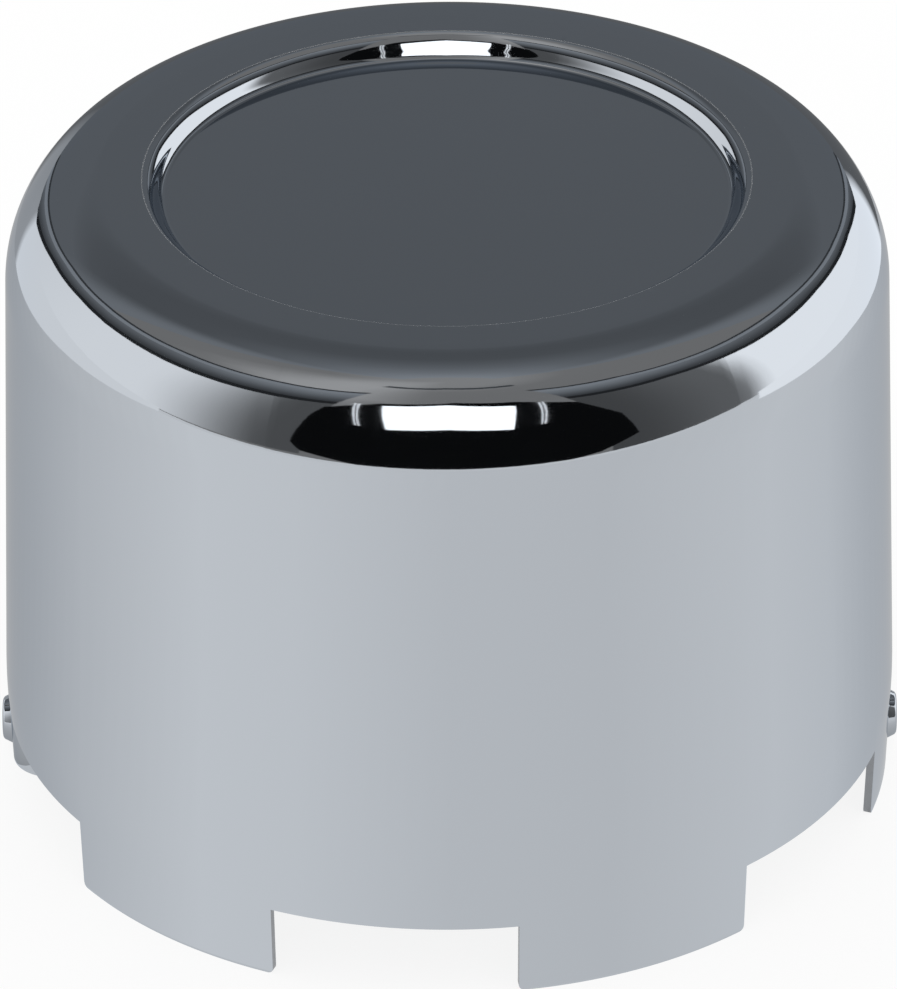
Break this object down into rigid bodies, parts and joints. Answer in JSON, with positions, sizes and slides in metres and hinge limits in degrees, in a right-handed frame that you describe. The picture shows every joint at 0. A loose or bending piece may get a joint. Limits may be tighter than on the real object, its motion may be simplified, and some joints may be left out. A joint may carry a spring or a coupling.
{
  "type": "wheel center cap",
  "caption": "Deep round chrome-plated steel wheel center cap with a shallow round recess in its top, a rounded shoulder, a slightly flared wall and spring tabs at its open rim.",
  "frame": {"origin": "on the cap's axis, at the level of the tab tips", "axes": "+Z along the cap's axis towards its closed top, +X through one retaining button, -Y towards the side with the front gap"},
  "size_m": [0.1134, 0.1118, 0.0825],
  "materials": {
    "chrome_steel": "polished chrome plate"
  },
  "bodies": {
    "root": {"center_cap": "chrome_steel"}
  },
  "joints": []
}
